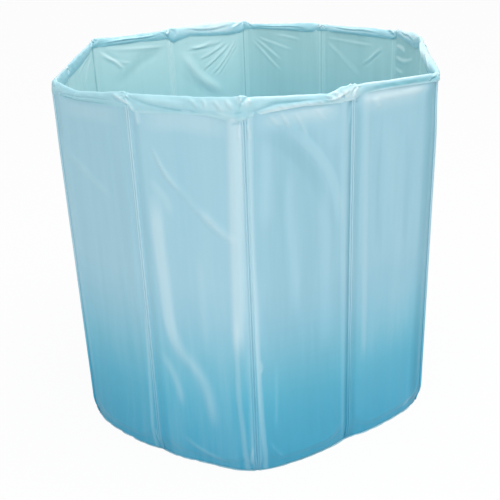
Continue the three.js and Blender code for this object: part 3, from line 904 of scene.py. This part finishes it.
hem = {
    "slot": "hem_pvc", "replaces": "rim_hem_%02d", "held": "gathered",
    "cut": 56.0,       # the band is one strip of this width, from its outer lower edge over the crown to its inner one
    "crown": 28.0,
    "thickness": 0.9,
    "step": 3.0,
    # half width along each panel, by share of the panel
    "half": [(0.0, 3.3), (0.05, 3.5), (0.17, 5.4), (0.5, 5.8), (0.83, 5.4), (0.95, 3.5)],
    "edge": [(0.0, 2.3), (0.05, 2.6), (0.15, 4.7), (0.85, 4.7), (0.95, 2.6)],
    # one side of the section between its lower edge and the crown: (share of the half width, share of the height)
    "section": [(0.93, 0.16), (1.03, 0.42), (0.86, 0.72), (0.5, 0.93)],
    "sectionCuts": 4,
    "lean": [(1, -9), (1.2, -4), (1.6, 0), (4.7, 0), (5, -3), (5.25, -9), (5.6, -11), (5.9, -6), (6.3, 0), (11, 0),
        (11.3, -4), (11.8, -4), (12.5, 0), (12.85, -5)],
    "roll": [(1, 0.9), (1.3, 0.84), (4.9, 0.84), (5.2, 1.5), (5.7, 1.6), (5.95, 1.2), (6.2, 1.3), (6.6, 1.2),
        (6.9, 1)],
    "leanFrom": 670.0,
    "leanOver": 45.0,
    "liftRange": (-1.8, 3.4),
    "endShare": 0.35,      # how much of the folds is left at the two lower edges
    "endOver": 4.0,
    "wrinkles": {"seed": 21, "count": 16, "across": (18, 60), "upright": (22, 70), "height": 0.34},
    "swells": {"seed": 22, "count": 10, "across": (80, 240), "upright": (60, 200), "height": 0.5},
    "tucks": {"count": 7, "length": 17, "start": 2, "spread": 150, "turn": 12, "far": (0.55, 1.1), "bow": 0.18,
              "half": 2.0, "halves": (0.8, 1.3), "height": 1.3, "heights": (0.6, 1.2), "tone": 0.2},
    # here a point's second number is the length over the hem from its outer lower edge; the first rows of each
    # kind are outside, on panels 01 to 04, and the later ones inside, seen across the tub
    # hem tones: above 0 partly film whitened by stretching and partly painted highlight, as on the crown; below 0
    # painted shade
    "crease": [
        (3.8, 3, 0.5, (1.84, 25), (1.93, 18), (2.02, 9), (2.07, 0)),
        (2.2, 1.6, 0.3, (2.56, 25), (2.6, 18), (2.64, 10)),
        (2, 1.5, 0.3, (2.66, 26), (2.69, 18), (2.7, 11)),
        (2.2, 1.6, 0.3, (2.76, 25), (2.79, 18), (2.85, 9)),
        (2.2, 1.5, 0.3, (2.86, 27), (2.88, 20), (2.93, 14)),
        (2.2, 1.6, 0.3, (2.78, 8), (2.86, 5), (2.95, 5)),
        (1.8, 1.4, 0.25, (3.3, 12), (3.33, 5), (3.38, -2)),
        (1.8, 1.3, 0.25, (3.41, 13), (3.43, 6), (3.49, -2)),
        (1.8, 1.5, 0.25, (3.54, 14), (3.56, 6), (3.6, -1)),
        (1.8, 1.3, 0.25, (3.64, 14), (3.68, 7), (3.7, 0)),
        (2, 1.7, 0.35, (3.72, 26), (3.77, 18), (3.8, 8)),
        (2.2, 2, 0.35, (3.8, 28), (3.84, 18), (3.86, 6)),
        (2.2, 2, 0.35, (3.88, 24), (3.92, 14), (3.93, 4)),
        (2.4, 2.2, 0.4, (3.7, 13), (3.8, 10), (3.9, 15), (3.97, 24)),
        (2.2, 2, 0.35, (4.05, 24), (3.99, 15), (4, 4)),
        (2, 1.2, 0.2, (4.84, 4), (4.9, 14), (4.97, 24)),
        (2.4, 2.4, 0.3, (11.04, 28), (11.02, 38), (11.05, 50)),
        (2.4, 1.8, 0.3, (10.97, 26), (10.92, 36), (10.94, 48)),
        (2.6, 1.6, 0.2, (10.9, 46), (10.6, 40), (10.35, 44), (10.1, 36)),
        (2.4, 2, 0.3, (10.1, 30), (10.06, 40), (10, 52)),
        (2.4, 2, 0.3, (9.95, 28), (9.9, 38), (9.92, 50)),
        (2.6, 1.6, 0.25, (9.8, 34), (9.6, 42), (9.35, 40), (9.2, 34)),
        (2.2, 2, 0.3, (9.05, 26), (9.1, 36), (9.2, 44)),
        (2.2, 2, 0.3, (8.97, 26), (8.9, 36), (8.86, 48)),
        (2.6, 1.5, 0.2, (8.85, 38), (8.6, 42), (8.4, 38), (8.2, 44)),
        (2.2, 1.8, 0.3, (7.96, 28), (7.94, 40), (7.97, 52)),
        (2.6, 1.6, 0.25, (7.9, 34), (7.6, 40), (7.4, 36), (7.15, 44)),
        (3, 3, 0.4, (7.12, 26), (7.02, 36), (6.98, 48)),
        (2.6, 2.2, 0.4, (6.95, 24), (6.9, 34), (6.96, 46)),
        (2.6, 1.8, 0.35, (6.8, 30), (6.6, 38), (6.4, 36), (6.2, 44)),
        (3, 2.6, 0.4, (6.06, 24), (6.02, 36), (6.04, 50)),
        (2.6, 1.8, 0.35, (5.95, 26), (5.7, 38), (5.45, 46)),
        (2.6, 1.6, 0.3, (5.6, 26), (5.4, 34), (5.15, 42)),
        (2.4, 2.4, 0.4, (12.04, 26), (12, 38), (12.03, 50)),
        (2.4, 1.8, 0.3, (11.95, 26), (11.9, 36), (11.93, 48)),
    ],
    "ridge": [
        (1.8, -1, -0.3, (0.97, 2), (1.03, 4.5), (1.25, 10), (1.48, 13), (1.75, 12), (1.96, 11)),
        (2, -0.6, -0.4, (1, 1.5), (1.35, 1.5), (1.6, 2), (1.9, 3)),
        (3.4, 1.6, 0.4, (2.045, 8), (2.06, 2), (2.065, -4)),
        (1.9, -1.2, -0.3, (1.99, 27), (2.07, 21), (2.14, 17), (2.38, 7.5), (2.7, 3)),
        (5, 1.2, 0.18, (2.1, 22), (2.35, 18), (2.6, 15)),
        (2, -2, -0.45, (3.05, 28), (3.02, 25.5), (2.99, 22), (2.975, 17), (2.955, 12)),
        (3, 1.8, 0.45, (3.07, 25), (3.03, 21), (3.01, 15)),
        (1.6, -1, -0.3, (2.92, 9.5), (2.96, 10), (3, 9.5)),
        (1.8, -1.3, -0.42, (2.99, 8), (3.07, 8), (3.15, 9.5), (3.22, 12.5), (3.29, 15), (3.43, 13.5), (3.58, 15),
         (3.72, 15.5)),
        (4.5, 1.2, 0.5, (3.05, 4), (3.2, 4), (3.45, 5), (3.6, 6), (3.78, 6)),
        (4, -1.6, -0.5, (4.88, 12), (4.94, 14), (4.98, 18)),
        (4, 2.2, 0.7, (10.02, 30), (10.03, 38), (10.02, 46)),
        (3.5, 2, 0.6, (8.04, 30), (8.03, 38), (8.05, 46)),
    ],
    "band": [
        (4, 0.4, -0.16, (1, 1), (1.35, 5), (1.7, 6), (1.98, 5)),
        (3.5, 0.3, -0.1, (2.2, 4), (2.5, 4), (2.75, 5)),
        (8, 0.2, 0.22, (2.62, 16), (2.8, 17), (2.96, 17)),
        (3, -0.2, -0.3, (3.12, 13), (3.22, 17), (3.3, 18.5), (3.43, 17), (3.55, 18)),
        (4, 0.5, 0.25, (3, 26), (3.25, 27), (3.5, 28), (3.75, 28)),
        (11, 0.4, 0.42, (3.72, 14), (3.86, 14), (4.1, 12)),
        (7, -0.4, -0.55, (4.05, 12), (4.4, 13), (4.8, 13), (5.05, 13)),
        (2.6, 0.6, 0.7, (3.9, 27), (4.4, 27), (5.05, 27)),
        (2.2, 0.6, 0.5, (4.02, 1), (4.4, 0.5), (4.98, 0.5)),
        (10, 0, -0.08, (7.1, 42), (7.35, 42)),
        (10, 0, -0.12, (8.05, 40), (8.5, 40)),
        (10, 0, -0.3, (8.6, 42), (9, 42)),
        (12, 0, 0.34, (9, 38), (9.5, 38), (9.98, 38)),
        (7, 0, 0.3, (9.15, 44), (9.35, 45), (9.6, 43)),
        (4, -0.8, -0.3, (7.12, 44), (7.03, 40), (6.93, 44)),
        (9, 0.5, 0.45, (5.1, 44), (5.5, 40), (5.9, 40)),
        (5, 0.6, 0.3, (9.1, 32), (9.5, 34), (9.85, 31)),
    ],
    # these seams only tone the hem: deeper on the far hem and by the crown as painted shade, paler at the outer foot as
    # painted light
    "seam": [
        (10, 0, 0.12, (7, 42), (8, 42)),
        (11, 0, -0.2, (10.05, 40), (11, 40)),
        (10, 0, -0.1, (11, 42), (13, 42)),
        (3.4, 0, -0.28, (7, 54), (13, 54)),
        (9, 0, -0.16, (7, 26), (13, 26)),
        (9, 0, -0.18, (1, 24), (2, 24)),
        (9, 0, -0.12, (2, 24), (2.95, 24)),
        (3.2, 0, 0.2, (2.1, 1), (3, 1)),
        (3.4, 0, 0.3, (3.05, 1), (4, 1)),
    ],
}


# Catmull-Rom weights that draw a smooth section through its points
def hemBasis(points, cuts):
    rowsOf = []
    for i in range(points - 1):
        for c in range(cuts + (i == points - 2)):
            t = c / cuts
            weights = (-t + 2 * t * t - t ** 3, 2 - 5 * t * t + 3 * t ** 3, t + 4 * t * t - 3 * t ** 3, t ** 3 - t * t)
            row = np.zeros(points)
            for o, w in zip((-1, 0, 1, 2), weights):
                row[min(max(i + o, 0), points - 1)] += w / 2
            rowsOf.append(row)
    return np.array(rowsOf)


def rimHem(look):
    xs = columns(look["step"])
    top, outerFoot, innerFoot = (roundWall(rim[n], xs) for n in ("top", "outerFoot", "innerFoot"))
    half, edge = (roundWall([(k + s, w) for k in panelNumbers for s, w in look[n]], xs) * roundWall(look["roll"], xs)
                  for n in ("half", "edge"))
    outside, inside = ([(side * edge, low)] + [(side * half * w, low + (top - low) * h) for w, h in look["section"]]
                       for side, low in ((1, outerFoot), (-1, innerFoot)))
    section = outside + [(half * 0, top)] + inside[::-1]
    basis = hemBasis(len(section), look["sectionCuts"])
    depth, height = (np.stack(values, axis=1) @ basis.T for values in zip(*section))
    depth += roundWall(look["lean"], xs)[:, None] * smooth((height - look["leanFrom"]) / look["leanOver"])
    mean = np.stack((depth.mean(axis=0), height.mean(axis=0)), axis=1)
    over = np.concatenate(([0], np.cumsum(np.linalg.norm(np.diff(mean, axis=0), axis=1))))
    over *= look["cut"] / over[-1]
    lift, pale = np.zeros(depth.shape), np.zeros(depth.shape)
    folds = listed(look)
    for k in panelNumbers:
        for towards, seed in ((-90, 100 + k), (90, 200 + k)):
            folds += gathers(k, look["crown"], towards, seed, look["tucks"])
    for fold in folds:
        press(lift, pale, xs, over, fold)
    lift += swells(xs, over, look["wrinkles"]) + swells(xs, over, look["swells"])
    ends = smooth(over / look["endOver"]) * smooth((over[-1] - over) / look["endOver"])
    lift = np.clip(lift, *look["liftRange"]) * (look["endShare"] + (1 - look["endShare"]) * ends[None, :])
    points = placed(xs, depth, height)
    front = points + gridNormals(points) * lift[:, :, None]
    back = front - gridNormals(front) * look["thickness"]
    cutUp("rimHem", look, xs, front, back, pale)
    print("rim hem made:", len(folds), "folds")


rimHem(hem)

# raised weld along each weld line, swept in Geometry Nodes
weldBead = {"Radius": 0.0016, "Wander": 0.0003, "Step": 0.006, "Sides": 12}
beadLine = {
    "gap": 2.0,            # two thin ridges side by side, this far from the line
    "from": 3.0,
    "stand": 1.0,
    "underHem": 4.0,
    "points": 60,
    "wanderScale": 22.0,
    # the beads' tone is painted highlight, stronger higher up
    "low": {"each": 0.02, 2: 0.2, 3: 0.14},     # tone at the foot and higher up, by weld line
    "high": {"each": 0.28, 2: 0.5},
    "toneFrom": 40.0,
    "toneOver": 420.0,
}


def beadTree():
    tree, given = newTree("weldBead", weldBead)
    curve = wire(tree, "GeometryNodeMeshToCurve", {0: given["Geometry"]})
    even = wire(tree, "GeometryNodeResampleCurve", {"Curve": curve.outputs[0], "Length": given["Step"]}, mode="LENGTH")
    sway = wire(tree, "ShaderNodeTexNoise", {"Scale": beadLine["wanderScale"], "Detail": 1.0}).outputs["Color"]
    sway = wire(tree, "ShaderNodeVectorMath", {0: sway, 1: (0.5, 0.5, 0.5)}, operation="SUBTRACT").outputs[0]
    sway = wire(tree, "ShaderNodeVectorMath", {0: sway, "Scale": given["Wander"]}, operation="SCALE").outputs[0]
    swayed = wire(tree, "GeometryNodeSetPosition", {"Geometry": even.outputs[0], "Offset": sway})
    circle = wire(tree, "GeometryNodeCurvePrimitiveCircle", {"Resolution": given["Sides"], "Radius": given["Radius"]})
    swept = wire(tree, "GeometryNodeCurveToMesh", {0: swayed.outputs[0], 1: circle.outputs[0], "Fill Caps": True})
    soft = wire(tree, "GeometryNodeSetShadeSmooth", {"Geometry": swept.outputs[0]})
    return closeTree(tree, soft.outputs[0], given["Finish"])


def weldBeads(look):
    tree = beadTree()
    for k in panelNumbers:
        x = np.array([(k - 1) * pitch - look["gap"], (k - 1) * pitch + look["gap"]])
        zs = np.linspace(look["from"], float(roundWall(rim["outerFoot"], x)[0]) + look["underHem"], look["points"])
        depth = look["stand"] + footDepth(x, zs) + cornerStand(x, zs)
        lines = placed(x, depth, np.tile(zs, (2, 1))).reshape(-1, 3) * mm
        mesh = bpy.data.meshes.new("weldLine")
        mesh.from_pydata(lines.tolist(), [(i, i + 1) for i in range(len(lines) - 1) if i != len(zs) - 1], [])
        swept = throughTree(mesh, tree, dict(weldBead, Finish=finishes["outer_pvc"]))
        swept.name = "weldBead%02d" % k
        bead = linked(swept.name, swept)
        # painted highlight along the bead, rising with height
        lit = swept.attributes.new("pale", "FLOAT", "POINT")
        up = np.array([v.co.z for v in swept.vertices]) / mm
        low, high = (look[end].get(k, look[end]["each"]) for end in ("low", "high"))
        tone = low + (high - low) * smooth((up - look["toneFrom"]) / look["toneOver"])
        lit.data.foreach_set("value", tone.astype(np.float32))
        if k == ring["openLine"]:
            bodySlot(bead, k, "outer_pvc")
        else:
            bendOver(bodySlot(bead, 0, "outer_pvc"), k)
    print("weld beads made")


weldBeads(beadLine)

floorSheet = {
    "step": 8.0,
    "shares": [0.0, 0.006, 0.014, 0.025, *np.linspace(0.05, 1.0, 24)],     # rows, from the lip to the ring's middle
    "lip": [(1, 0), (2, 0), (2.6, 0.6), (3, 0.5), (3.15, -1.5), (3.4, -2), (3.75, -1.5), (3.95, 0.5), (4.2, 0.5),
        (4.7, -0.5), (5, 0), (6.5, 2), (8, 1), (9.5, 2.5), (11, 1), (12, 1)],
    "wallOut": 2.8,          # how far the lip reaches out from the wall's line
    "lipLift": 1.3,
    "lipShare": 0.012,
    "ripple": {"seed": 41, "count": 8, "across": (16, 42), "upright": (400, 900), "height": 0.5},
    "wrinkles": {"seed": 42, "count": 14, "across": (60, 200), "upright": (0.15, 0.6), "height": 0.5},
    "wrinkleIn": 0.08,       # the wrinkles start over this share from the lip and end over this share at the middle
    "wrinkleOut": 0.2,
    "height": 1.05,
    "mostWrinkle": 2.6,
    "thickness": 1.0,
    "keep": 0.05,
}


def floorGores(look):
    xs, shares = columns(look["step"]), np.array(look["shares"])
    base, out = ringLine(xs)
    wave = swells(xs, np.array([0.0]), look["ripple"])[:, 0]
    tucked = footDepth(xs, np.array([0.0]))[:, 0]
    edge = base + out * (roundWall(look["lip"], xs) + wave + tucked + look["wallOut"])[:, None]
    flat = edge[:, None, :] * (1 - shares)[None, :, None] + ringMiddle[None, None, :] * shares[None, :, None]
    calm = smooth(shares / look["wrinkleIn"]) * smooth((1 - shares) / look["wrinkleOut"])
    wrinkle = np.abs(swells(xs, shares, look["wrinkles"])) * calm[None, :]
    lipLift = (np.abs(wave) * look["lipLift"])[:, None] * np.exp(-(shares / look["lipShare"]) ** 2)[None, :]
    high = look["height"] + np.minimum(wrinkle + lipLift, look["mostWrinkle"])
    front = np.concatenate((flat, high[:, :, None]), axis=2)
    back = front.copy()
    back[:, :, 2] = np.maximum(high - look["thickness"], 0.0)
    for k in panelNumbers:
        cols = columnsBetween(xs, (k - 1) * pitch, k * pitch)
        gore = shellMesh("floorGore%02d" % k, front[cols], back[cols], values=np.zeros((len(cols), len(shares))))
        gore.modifiers.new("merge", "WELD").merge_threshold = 1e-6     # the points that meet in the middle
        mesh = baked(gore)
        gore.modifiers.clear()
        gore.data = mesh
        mesh.name = gore.name
        bodySlot(gore, k, "floor_pvc")
        if k == 2:
            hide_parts("floor_sheet")
        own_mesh(gore)
    print("floor sheet made in twelve gores")


floorGores(floorSheet)

grainDepth = 0.0004


def mouldedPlastic(name, look):
    mat, tree, shader = newMaterial(name)
    place = wire(tree, "ShaderNodeTexCoord").outputs["Object"]
    mottle = noise(tree, place, look["mottleScale"], 3.0)
    tree.links.new(mix(tree, mottle, *(paint(c) for c in look["colours"])), shader.inputs["Base Color"])
    plasticSurface(tree, shader, place, mottle, (0.25, 0.75), look, grainDepth)
    return mat


# boards in the pockets, and the drain's hard parts: the CAD solids with their own finishes
hardFinishes = {
    "board_plastic": {
        "parts": ["board_%02d" % k for k in panelNumbers],
        "colours": ("dfe5e6", "d2dadc"), "mottleScale": 30, "rough": (0.5, 0.65), "grainScale": 500, "grain": 0.25,
    },
    "drain_body_plastic": {
        "parts": ["drain_spout", "drain_nut"],
        "colours": ("e9f1f3", "dfe9ec"), "mottleScale": 60, "rough": (0.3, 0.4), "grainScale": 900, "grain": 0.1,
    },
    "cap_plastic": {
        "parts": ["drain_cap"],
        "colours": ("3f8fb4", "377fa3"), "mottleScale": 70, "rough": (0.32, 0.45), "grainScale": 900, "grain": 0.2,
    },
    "seal_rubber": {
        "parts": ["drain_gasket", "drain_cap_seal"],
        "colours": ("3a3f42", "2e3336"), "mottleScale": 120, "rough": (0.6, 0.75), "grainScale": 700, "grain": 0.3,
    },
}


def dressHardParts():
    for name, look in hardFinishes.items():
        finish = mouldedPlastic(name, look)
        for part in look["parts"]:
            for slot in frame["nodes"][part].material_slots:
                slot.material = finish
    print("boards and drain dressed")


dressHardParts()

studio = {
    "ambient": 0.60,
    "ground": {"colour": "dcdfe0", "half": 30.0, "height": -0.0005, "rough": 0.9, "specular": 0.1, "glow": 0.95},
    "target": (0, 0, 0.35),
    "lamps": [
        {"name": "keyLamp", "place": (-1.2, -3.0, 2.7), "size": (2.2, 2.2), "power": 29},
        {"name": "topLamp", "place": (0.7, -0.35, 3.2), "size": (2.3, 2.3), "power": 62},
        {"name": "frontBounce", "place": (-0.12, -1.25, 0.03), "size": (0.9, 1.1), "power": 1.2, "faces": (0, 0, 1)},
    ],
}


# a brighter sky for the camera and in reflections than what lights the tub
def lightSky(look):
    world = bpy.data.worlds.new("studio")
    bpy.context.scene.world = world
    world.use_nodes = True
    tree = world.node_tree
    sky = tree.nodes["Background"]
    rays = wire(tree, "ShaderNodeLightPath").outputs
    seen = mathNode(tree, "MAXIMUM", rays["Is Camera Ray"], rays["Is Glossy Ray"])
    seen = mathNode(tree, "MAXIMUM", seen, rays["Is Transmission Ray"])
    tree.links.new(spread(tree, seen, 0.0, 1.0, look["ambient"], 1.0), sky.inputs["Strength"])
    sky.inputs["Color"].default_value = (1, 1, 1, 1)


def layGround(look):
    mesh = bpy.data.meshes.new("studioFloor")
    square = ((-1, -1), (1, -1), (1, 1), (-1, 1))
    mesh.from_pydata([(x * look["half"], y * look["half"], look["height"]) for x, y in square], [], [(0, 1, 2, 3)])
    ground = linked("studioFloor", mesh)
    mat, tree, shader = newMaterial("pale_floor")
    shader.inputs["Base Color"].default_value = paint(look["colour"])
    shader.inputs["Roughness"].default_value = look["rough"]
    shader.inputs["Specular IOR Level"].default_value = look["specular"]
    glow = wire(tree, "ShaderNodeEmission", {"Color": (1, 1, 1, 1), "Strength": 1.0}).outputs[0]
    share = mathNode(tree, "MULTIPLY", wire(tree, "ShaderNodeLightPath").outputs["Is Camera Ray"], look["glow"])
    mixed = wire(tree, "ShaderNodeMixShader", {0: share, 1: shader.outputs[0], 2: glow})
    tree.links.new(mixed.outputs[0], tree.nodes["Material Output"].inputs["Surface"])
    mesh.materials.append(mat)


def hangLamps(look):
    for lamp in look["lamps"]:
        data = bpy.data.lights.new(lamp["name"], "AREA")
        data.shape, data.energy = "RECTANGLE", lamp["power"]
        data.size, data.size_y = lamp["size"]
        obj = linked(lamp["name"], data)
        obj.location = lamp["place"]
        obj.rotation_mode = "QUATERNION"
        faces = Vector(lamp["faces"]) if "faces" in lamp else Vector(look["target"]) - Vector(lamp["place"])
        obj.rotation_quaternion = faces.to_track_quat("-Z", "Y")
        obj.visible_camera = False


bpy.context.scene.view_settings.view_transform = "Standard"
lightSky(studio)
layGround(studio["ground"])
hangLamps(studio)
print("studio lit")
